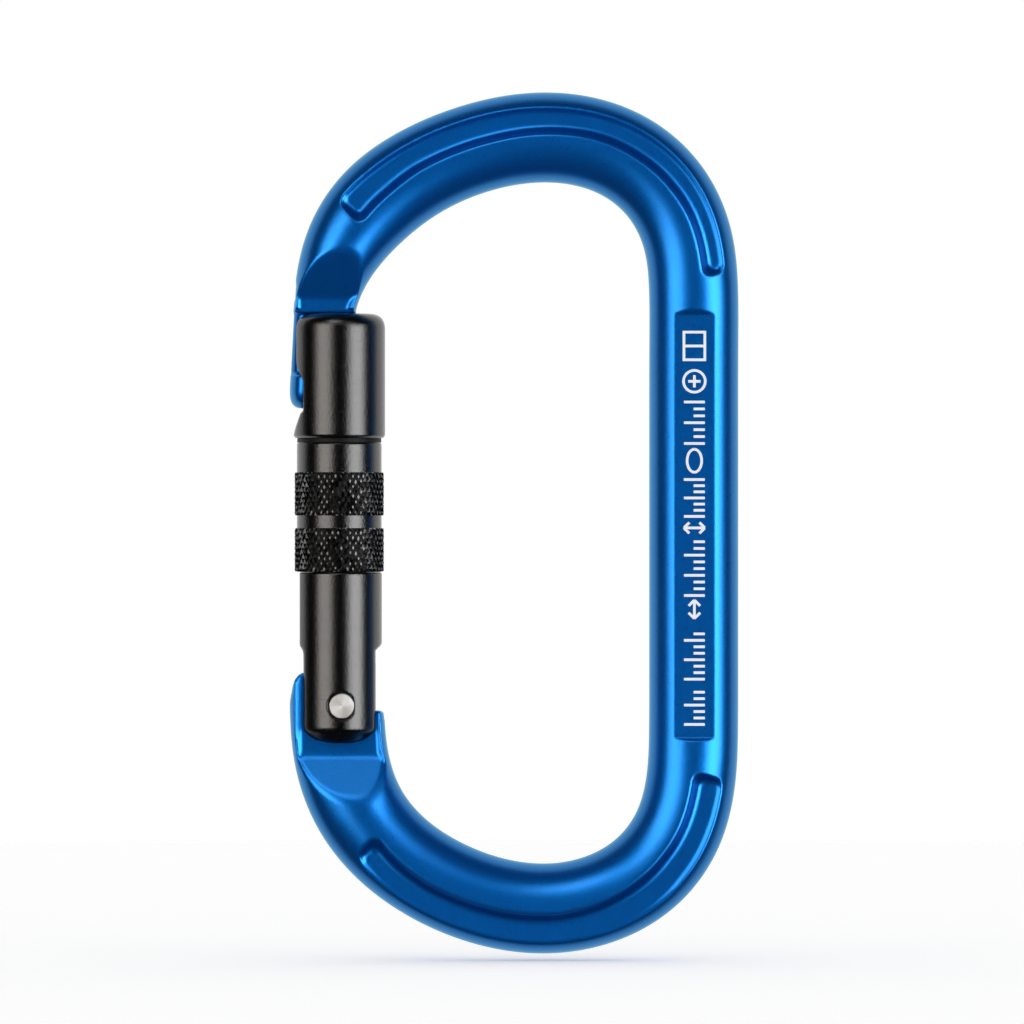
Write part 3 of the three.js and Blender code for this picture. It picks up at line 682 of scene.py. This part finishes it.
def anodised_blue():
    material, graph, bsdf = new_material("blue_anodised")
    coords = graph.coords()
    grain = graph.noise(coords, scale=5200, detail=2.0, roughness=0.55)    # about 0.2 mm
    fine = graph.noise(coords, scale=14000, detail=2.0, roughness=0.6)
    broad = graph.noise(coords, scale=120, detail=3.0, roughness=0.5)
    skin = graph.weighted(grain, 0.6, fine, 0.4)
    # The dye is a little uneven.
    dye = graph.ramp(graph.weighted(skin, 0.7, broad, 0.3), positions=(0.30, 0.72),
                     colours=[(0.0006, 0.138, 0.72), (0.0014, 0.178, 0.86)])
    # Painted shade: the base colour is darkened where the surface turns away from the camera,
    # standing in for fill light that comes mostly from the front.
    painted_shade_facing = graph.add("ShaderNodeLayerWeight", {"Blend": 0.5}).outputs["Facing"]
    painted_shade_darken = graph.nodes.new("ShaderNodeMix")
    painted_shade_darken.data_type, painted_shade_darken.blend_type = "RGBA", "MULTIPLY"
    graph.feed(painted_shade_darken, {"Factor": graph.remap(painted_shade_facing, low=0.06, high=0.30),
                         "A": dye, "B": (0.5, 0.50, 0.58, 1)})
    normal = graph.bump(skin, strength=0.30, distance=0.00006)
    graph.feed(bsdf, {
        "Base Color": painted_shade_darken.outputs["Result"],
        "Metallic": 0.6,
        "Specular Tint": (0.05, 0.92, 1.0, 1),
        "IOR": 2.9,
        "Roughness": graph.remap(skin, low=0.3, high=0.7, out_low=0.26, out_high=0.34),
        "Coat Weight": 0.24,
        "Coat Roughness": 0.14,
        "Coat IOR": 1.5,
        "Normal": normal,
        "Coat Normal": normal})
    return material


def anodised_black(name, base, grain_strength, turned):
    """Black skin of brightness base; turned adds faint tool marks round the barrel."""
    material, graph, bsdf = new_material(name)
    coords = graph.coords()
    height = graph.noise(coords, scale=3600, detail=3.0, roughness=0.7)
    broad = graph.noise(coords, scale=200, detail=2.0, roughness=0.5)
    if turned:
        around = graph.stretched(coords, (0.03, 0.03, 1.0))
        rings = graph.noise(around, scale=9000, detail=1.0, roughness=0.5)
        height = graph.weighted(height, 0.65, rings, 0.35)
    tints = [(0.85, 0.86, 0.92), (1.25, 1.22, 1.20)]
    colours = [tuple(base * factor for factor in tint) for tint in tints]
    graph.feed(bsdf, {
        "Base Color": graph.ramp(broad, colours, positions=(0.35, 0.7)),
        "Metallic": 0.0,
        "IOR": 1.73,
        "Specular IOR Level": 0.5,
        "Roughness": graph.remap(height, low=0.3, high=0.7, out_low=0.12, out_high=0.20),
        "Normal": graph.bump(height, strength=grain_strength, distance=0.00008)})
    return material


def steel(name, colour, roughness, scratch, scale=7000, stretch=(1, 1, 1)):
    """Bare metal; scratch is the grain's depth, scale and stretch its size."""
    material, graph, bsdf = new_material(name)
    coords = graph.coords()
    grain = graph.noise(graph.stretched(coords, stretch), scale=scale, detail=3.0,
                        roughness=0.65)
    blotch = graph.noise(coords, scale=1200, detail=2.0, roughness=0.5)
    graph.feed(bsdf, {
        "Base Color": graph.ramp(blotch, shades(colour, dark=0.82, pale=1.06),
                                 positions=(0.25, 0.75)),
        "Metallic": 1.0,
        "Roughness": graph.remap(grain, low=0.25, high=0.75,
                                 out_low=roughness * 0.75, out_high=roughness * 1.3),
        "Normal": graph.bump(grain, strength=scratch, distance=0.00005)})
    return material


def rivet_end():
    """A satin rivet end with fine rings from the punch round the hinge's axis."""
    material, graph, bsdf = new_material("rivet_end")
    coords = graph.coords()
    across = graph.split(coords)
    px = graph.calc("SUBTRACT", across[0], HINGE_X * MM)
    pz = graph.calc("SUBTRACT", across[2], HINGE_Z * MM)
    square = graph.calc("ADD", graph.calc("MULTIPLY", px, px),
                        graph.calc("MULTIPLY", pz, pz))
    ring = graph.add("ShaderNodeCombineXYZ", {0: graph.calc("SQRT", square)}).outputs[0]
    rings = graph.noise(ring, scale=9000, detail=2.0, roughness=0.6)
    grain = graph.noise(coords, scale=7000, detail=2.0, roughness=0.6)
    blotch = graph.noise(coords, scale=900, detail=2.0, roughness=0.5)
    # Painted highlight and shade: wedges lighter and darker round the centre stand in for
    # light falling on the punched cone, over blotches of random tone.
    turn = graph.calc("ARCTAN2", pz, px)
    painted_wedge_light = graph.calc("SINE", graph.calc("MULTIPLY", turn, 2.0))
    blotch_and_painted_light = graph.calc("ADD", graph.calc("MULTIPLY", painted_wedge_light, 0.24),
                       graph.calc("ADD", graph.calc("MULTIPLY", blotch, 0.5), 0.25))
    height = graph.calc("ADD", rings, graph.calc("MULTIPLY", grain, 0.3))
    graph.feed(bsdf, {
        "Base Color": graph.ramp(blotch_and_painted_light, shades((1.0, 0.96, 0.90), dark=0.66, pale=1.08),
                                 positions=(0.25, 0.75)),
        "Metallic": 0.5,
        "Roughness": graph.remap(grain, low=0.25, high=0.75, out_low=0.42, out_high=0.56),
        "Normal": graph.bump(height, strength=0.25, distance=0.00005)})
    return material


def acetal():
    material, graph, bsdf = new_material("bearing_plastic")
    grain = graph.noise(graph.coords(), scale=4000, detail=2.0, roughness=0.6)
    graph.feed(bsdf, {
        "Base Color": graph.ramp(grain, [(0.002, 0.002, 0.002), (0.004, 0.004, 0.004)]),
        "IOR": 1.3,
        "Roughness": graph.remap(grain, low=0.3, high=0.7, out_low=0.42, out_high=0.58)})
    return material


def etched_white():
    material, graph, bsdf = new_material("etched_white")
    grain = graph.noise(graph.coords(), scale=9000, detail=2.0, roughness=0.6)
    graph.feed(bsdf, {
        "Base Color": graph.ramp(grain, [(0.82, 0.86, 0.92), (0.98, 0.99, 1.0)]),
        # The emission is painted light: the white marks glow a little brighter than the lamps
        # light them.
        "Emission Color": (0.90, 0.95, 1.0, 1),
        "Emission Strength": 0.28,
        "Roughness": 0.6})
    return material


BLUE = anodised_blue()
BLACK = anodised_black("black_anodised", base=0.0016, grain_strength=0.6, turned=True)
KNURLED = anodised_black("black_knurled", base=0.0012, grain_strength=0.05, turned=False)
# In the file's palette, though no piece below wears it.
steel("stainless", colour=(0.74, 0.72, 0.70), roughness=0.22, scratch=0.08)
RIVET = rivet_end()
PIN = steel("ground_pin_steel", colour=(0.66, 0.66, 0.67), roughness=0.18, scratch=0.05,
            scale=9000, stretch=(0.1, 0.1, 1))
SPRING = steel("spring_wire", colour=(0.55, 0.55, 0.56), roughness=0.28, scratch=0.10)
PLASTIC = acetal()
WHITE = etched_white()


# ------------------------------------------------------------------ pieces
def dress(obj, material):
    obj.data.materials.clear()
    obj.data.materials.append(material)


def fit(obj, material, stands_for, rides_on):
    """Gives a piece its material, the CAD piece it replaces and the frame it rides on."""
    dress(obj, material)
    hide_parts(stands_for)
    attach(obj, rides_on)


def gate_solid(name, shape, reach, low, high, spacing):
    """An implicit piece meshed in a box about the gate's axis."""
    return implicit(name, shape, (GATE_X - reach, -reach, low), (GATE_X + reach, reach, high),
                    spacing)


fit(implicit("carabiner_body", body_shape, (-30.4, -6.3, -57.4), (30.4, 6.3, 57.4), 0.21),
    BLUE, "body", "frame")
fit(gate_solid("gate_barrel_head", head_shape, reach=6.5, low=-11.9, high=27.6, spacing=0.15),
    BLACK, "gate_head", "gate")
fit(gate_solid("gate_barrel_tail", tail_shape, reach=6.1, low=-29.5, high=-5.9, spacing=0.14),
    BLACK, "gate_tail", "gate")
fit(gate_solid("lock_collar_sleeve", collar_shape, reach=5.9, low=-6.9, high=10.8,
               spacing=0.13),
    BLACK, "locking_collar", "collar")


def knurl_band(name, z0, z1):
    """A ring of truncated diamonds between crossing grooves, each a little irregular."""
    turns, pitch = 48, 1.34             # diamonds round the ring, and their height
    low, high, end_radius, bore = 5.56, 5.82, 5.66, 5.3
    flat = 0.37                         # the flat top's share of a diamond
    rng = np.random.default_rng(7)
    points, faces = [], []

    def diamond(turn, z, size, radius, tilt=(0, 0)):
        """Adds four corners, clamped to the band's ends, and returns their indices."""
        for a, b in ((-1, 0), (0, -1), (1, 0), (0, 1)):
            corner_radius = radius + tilt[0] * a + tilt[1] * b
            corner_z = z + b * pitch / 2 * size
            clamped = min(max(corner_z, z0), z1)
            if clamped != corner_z:
                corner_radius = min(corner_radius, end_radius)
            angle = (turn + a * 0.5 * size) / turns * 2 * math.pi
            points.append((GATE_X + corner_radius * math.cos(angle),
                           corner_radius * math.sin(angle), clamped))
        return range(len(points) - 4, len(points))

    for row in range(int(math.floor(z0 / pitch * 2)) - 1, int(math.ceil(z1 / pitch * 2)) + 2):
        z = row * pitch / 2
        if z + pitch / 2 <= z0 + 0.01 or z - pitch / 2 >= z1 - 0.01:
            continue
        for k in range(turns):
            turn = k + (0.5 if row % 2 else 0.0)
            turn_shift, z_shift = rng.normal(0, 0.03), rng.normal(0, 0.04)
            size = flat * rng.uniform(0.75, 1.2)
            tilt = rng.normal(0, 0.015, 2)
            base = diamond(turn, z, 1, low)
            turn, top_z = turn + turn_shift, z + z_shift
            shoulder = diamond(turn, top_z, size + 0.10, high - 0.035)
            top = diamond(turn, top_z, size, high, tilt)
            for i in range(4):
                j = (i + 1) % 4
                faces.append((base[i], base[j], shoulder[j], shoulder[i]))
                faces.append((shoulder[i], shoulder[j], top[j], top[i]))
            faces.append(tuple(top))

    # End faces and the ring's inside.
    n = turns * 2
    rings = []
    for radius, z in ((end_radius, z0), (bore, z0), (bore, z1), (end_radius, z1)):
        rings.append(range(len(points), len(points) + n))
        for i in range(n):
            angle = i / n * 2 * math.pi
            points.append((GATE_X + radius * math.cos(angle), radius * math.sin(angle), z))
    for lower, upper in zip(rings, rings[1:]):
        for i in range(n):
            j = (i + 1) % n
            faces.append((upper[i], upper[j], lower[j], lower[i]))
    band = quad_object(name, np.array(points), np.array(faces), smooth=False)
    fit(band, KNURLED, "locking_collar", "collar")


knurl_band("knurl_band_upper", 0.92, 6.55)
knurl_band("knurl_band_lower", -6.40, -0.72)


def washer(name, outer, z0, z1, stands_for):
    rim = 0.05
    outline = rounded([(WASHER_BORE, z0, rim), (outer, z0, rim), (outer, z1, rim),
                       (WASHER_BORE, z1, rim)], steps=4)
    fit(lathe(name, outline, (GATE_X, 0, 0), "z", segments=96),
        PLASTIC, stands_for, "gate")


washer("upper_bearing_ring", 5.5, 10.43, 11.01, "upper_thrust_washer")
washer("lower_bearing_ring", 4.85, -6.48, -5.98, "lower_thrust_washer")

fit(coil("torsion_spring_coil", radius=4.22, wire=0.32, z0=1.62, z1=10.3, turns=6.5),
    SPRING, "collar_torsion_spring", "gate")

bolt_outline = pin_outline(radius=1.52, low=-5.8, high=14.2, flats=(0.4, 0.5),
                           roundings=(0.2, 0.75), steps=6)
fit(lathe("lock_bolt_rod", bolt_outline, (GATE_X, 0, 0), "z", segments=64),
    PIN, "locking_bolt", "bolt")


def cross_pin(name, radius, half_length, rounding, at, axis, stands_for, rides_on):
    outline = pin_outline(radius, -half_length, half_length, flats=(0.2, 0.2),
                          roundings=(rounding, rounding), steps=5)
    fit(lathe(name, outline, at, axis, segments=48), PIN, stands_for, rides_on)


cross_pin("drive_cross_pin", 0.74, 4.75, 0.2, (GATE_X, 0, DRIVE_PIN_Z), "y",
          "bolt_drive_pin", "bolt")
cross_pin("tail_cross_pin", 0.75, 4.4, 0.15, (GATE_X, TAIL_PIN_Y, TAIL_PIN_Z), "x",
          "tail_pin", "gate")

# Half of the hinge rivet (radius, height), from its middle to the dimple in its end.
RIVET_HALF = [
    (1.5, 0.0), (1.5, 4.8), (1.54, 5.08), (1.60, 5.28), (1.61, 5.44), (1.57, 5.53),
    (1.49, 5.565), (1.40, 5.575), (1.10, 5.60), (0.7, 5.63), (0.30, 5.655), (0.20, 5.652),
    (0.12, 5.60), (0.05, 5.575), (0.0, 5.57)]


def peened(r, h, a):
    """The rivet's ends are spread by the punch: a hair out of round at the edge."""
    end = ease((abs(h) - 4.9) / 0.5) * ease((r - 1.1) / 0.5)
    swell = 0.008 * math.sin(5 * a + 0.7) + 0.006 * math.sin(9 * a + 2.1)
    dip = end * 0.015 * (1 + math.sin(3 * a + 3.6))
    return r * (1 + swell * end), h - math.copysign(1, h) * dip


rivet_outline = [(r, -h) for r, h in reversed(RIVET_HALF)] + RIVET_HALF[1:]
fit(lathe("hinge_rivet_peened", rivet_outline, (HINGE_X, 0, HINGE_Z), "y", segments=128,
          wobble=peened),
    RIVET, "hinge_rivet", "gate")


def plunger():
    """The gate's closing plunger, its lower end a hemisphere."""
    radius, tip_centre, top = 1.25, -18.6, -16.3
    tip = [(radius * math.sin(a), tip_centre - radius * math.cos(a))
           for a in np.linspace(0, math.pi / 2, 14)]
    rim = rounded([(radius, -17.0, 0), (radius, top, 0.2), (0.3, top, 0)], steps=5)
    fit(lathe("gate_closing_plunger", tip + rim + [(0, top)], (GATE_X, 0, 0), "z",
              segments=64),
        PIN, "gate_plunger", "plunger")


plunger()


def linking_spring(name, radius, wire, turns, gate_z, moving_z, stands_for):
    """A compression spring with one end on the gate, the other on the part it pushes."""
    spring = coil(name, radius, wire, min(gate_z, moving_z), max(gate_z, moving_z), turns)
    dress(spring, SPRING)
    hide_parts(stands_for)
    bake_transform(spring)


linking_spring("bolt_lift_spring", radius=1.22, wire=0.17, turns=8, gate_z=-11.45,
               moving_z=-5.85, stands_for="bolt_spring")
linking_spring("gate_closing_spring", radius=0.98, wire=0.16, turns=6, gate_z=-12.34,
               moving_z=-16.26, stands_for="gate_return_spring")


def pad_marks():
    """Flat bars, arrows and rings along the spine's front pad, in (x, z)."""
    width, centre, half = 0.34, 23.43, 1.36
    level, proud, sunk = 4.95, 0.022, 0.02
    stagger = 0.0015                    # keeps overlapping strokes apart
    quads = []

    def stroke(line):
        """A strip along each segment of a line; x is measured from the pad's centre."""
        line = [(centre + x, z) for x, z in line]
        for start, end in zip(line, line[1:]):
            p0, p1 = np.array(start), np.array(end)
            direction = p1 - p0
            direction /= np.linalg.norm(direction)
            n = np.array([-direction[1], direction[0]]) * width / 2
            quads.append([p0 - n, p1 - n, p1 + n, p0 + n])

    def bar(z, x0=-half, x1=half):
        stroke([(x0, z), (x1, z)])

    def upright(x, z0, z1):
        stroke([(x, z0), (x, z1)])

    def upright_arrow(z0, z1):
        upright(0, z0, z1)
        for z, d in ((z0, 1), (z1, -1)):
            stroke([(-0.75, z + 0.75 * d), (0, z), (0.75, z + 0.75 * d)])

    def level_arrow(z):
        bar(z)
        for x, d in ((-half, 1), (half, -1)):
            stroke([(x + 0.7 * d, z - 0.7), (x, z), (x + 0.7 * d, z + 0.7)])

    def ring(z, across, tall):
        stroke([(across * math.cos(a), z + tall * math.sin(a))
                for a in np.linspace(0, 2 * math.pi, 41)])

    def ticks(z0, z1):
        """Short bars about 0.86 apart, every third one full width."""
        n = int(round((z1 - z0) / 0.86))
        for i in range(n + 1):
            bar(z0 + (z1 - z0) * i / n, -half if i % 3 == 0 else -0.1)

    ticks(-26.3, -22.1)
    ticks(-20.4, -14.5)
    upright_arrow(-12.5, -10.1)
    ticks(-9.5, -2.5)
    level_arrow(-0.7)
    ticks(0.8, 5.6)
    ring(8.05, across=0.95, tall=1.5)
    ticks(10.3, 15.7)
    # A cross in a ring, then a ladder of three rungs.
    ring(18.4, across=1.42, tall=1.42)
    bar(18.4, -0.8, 0.8)
    upright(0, 17.6, 19.2)
    rungs = (21.2, 23.0, 24.8)
    for z in rungs:
        bar(z)
    for x in (-half, half):
        upright(x, rungs[0] - width / 2, rungs[-1] + width / 2)

    points, faces = [], []
    for i, quad in enumerate(quads):
        k = len(points)
        for y in (-(level + proud) - stagger * (i % 6), -(level - sunk)):
            points += [(x, y, z) for x, z in quad]
        faces += [(k, k + 1, k + 2, k + 3), (k + 7, k + 6, k + 5, k + 4)]
        for a in range(4):
            b = (a + 1) % 4
            faces.append((k + a, k + 4 + a, k + 4 + b, k + b))
    marks = quad_object("pad_marks", np.array(points), np.array(faces), smooth=False)
    dress(marks, WHITE)
    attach(marks, "frame")


pad_marks()


# ------------------------------------------------------------------ floor, light, camera
def build_floor():
    """A pale disc under the body, hidden from reflections and bounced light."""
    sides, radius, z = 96, 0.55, -0.0572        # metres
    rim = [(radius * math.cos(2 * math.pi * k / sides),
            radius * math.sin(2 * math.pi * k / sides), z) for k in range(sides)]
    mesh = bpy.data.meshes.new("floor")
    mesh.from_pydata([(0, 0, z)] + rim, [],
                     [(0, 1 + k, 1 + (k + 1) % sides) for k in range(sides)])
    floor = add_object("floor", mesh)
    material, graph, bsdf = new_material("floor_pale")
    graph.feed(bsdf, {
        "Base Color": (0.965, 0.965, 0.965, 1),
        "Roughness": 0.9,
        "Specular IOR Level": 0.1,
        "Emission Color": (1, 1, 1, 1),
        "Emission Strength": 0.31})
    mesh.materials.append(material)
    floor.visible_glossy = False
    floor.visible_diffuse = False


def build_world():
    """White to the camera, even light for matt surfaces, soft boxes in reflections."""
    world = bpy.data.worlds.new("studio")
    scene.world = world
    world.use_nodes = True
    world.cycles.sampling_method = "NONE"
    graph = Graph(world.node_tree)
    graph.nodes.clear()
    out = graph.nodes.new("ShaderNodeOutputWorld")
    calc = graph.calc

    # Directions as the camera sees them: x right, y up, z away from the camera.
    normal = graph.nodes.new("ShaderNodeVectorMath")
    normal.operation = "NORMALIZE"
    graph.feed(normal, {0: graph.coords("Camera")})
    dx, dy, dz = graph.split(normal.outputs[0])
    # Azimuth is 0 towards the camera, positive to the right.
    azimuth = calc("ARCTAN2", dx, calc("MULTIPLY", dz, -1.0))
    elevation = calc("ARCSINE", dy)

    def window(value, span, edge):
        """1 inside a span of degrees, with soft edges."""
        low, high, edge = math.radians(span[0]), math.radians(span[1]), math.radians(edge)
        rise = graph.remap(value, low - edge / 2, low + edge / 2, smooth=True)
        fall = graph.remap(value, high - edge / 2, high + edge / 2, smooth=True)
        return calc("MULTIPLY", rise, calc("SUBTRACT", 1.0, fall))

    def box(strength, across, across_edge, up, up_edge):
        return calc("MULTIPLY", strength, calc(
            "MULTIPLY", window(azimuth, across, across_edge), window(elevation, up, up_edge)))

    warm = box(strength=3.15, across=(-58, -20), across_edge=9, up=(-14, 26), up_edge=14)
    ahead = graph.remap(dz, low=0.12, high=0.41, smooth=True)
    lights = [
        box(strength=5.0, across=(27, 65), across_edge=10, up=(-22, 17), up_edge=16),
        warm,
        box(strength=2.5, across=(-30, 2), across_edge=12, up=(33, 54), up_edge=12),
        box(strength=0.7, across=(18, 38), across_edge=14, up=(18, 38), up_edge=14),
        calc("MULTIPLY", 0.95, ahead)]
    level = 0.02                        # the dark between the boxes
    for light in lights:
        level = calc("ADD", level, light)
    # The warm box loses a little green and more blue.
    tint = graph.add("ShaderNodeCombineXYZ", {
        0: level,
        1: calc("SUBTRACT", level, calc("MULTIPLY", warm, 0.05)),
        2: calc("SUBTRACT", level, calc("MULTIPLY", warm, 0.11))})
    reflected = graph.background(tint.outputs[0], 1.0)

    # Matt surfaces are lit from above more than from below.
    upward = graph.remap(graph.split(graph.coords("Generated"))[2], low=-0.50, high=0.50,
                         smooth=True)
    matt = graph.background((1, 1, 1, 1), calc("ADD", 0.56, calc("MULTIPLY", 0.14, upward)))
    seen = graph.background((1, 1, 1, 1), 1.0)
    path = graph.nodes.new("ShaderNodeLightPath").outputs
    lit = graph.mix_shader(path["Is Diffuse Ray"], reflected, matt)
    graph.feed(out, {"Surface": graph.mix_shader(path["Is Camera Ray"], lit, seen)})


def build_camera():
    """Looks along +Y; the view is view_width across at the mid plane."""
    distance = 1.5                      # metres
    view_width = 133.821223
    camera = add_object("camera", bpy.data.cameras.new("camera"))
    camera.data.sensor_width = 36
    camera.data.lens = 36 * distance / (view_width * MM)
    camera.data.clip_start, camera.data.clip_end = 0.1, 10
    camera.location = (-0.327 * MM, -distance, 1.372 * MM)
    camera.rotation_euler = (math.radians(90), 0, 0)
    scene.camera = camera
    scene.view_settings.view_transform = "Standard"
    scene.view_settings.look = "None"


build_floor()
build_world()
build_camera()
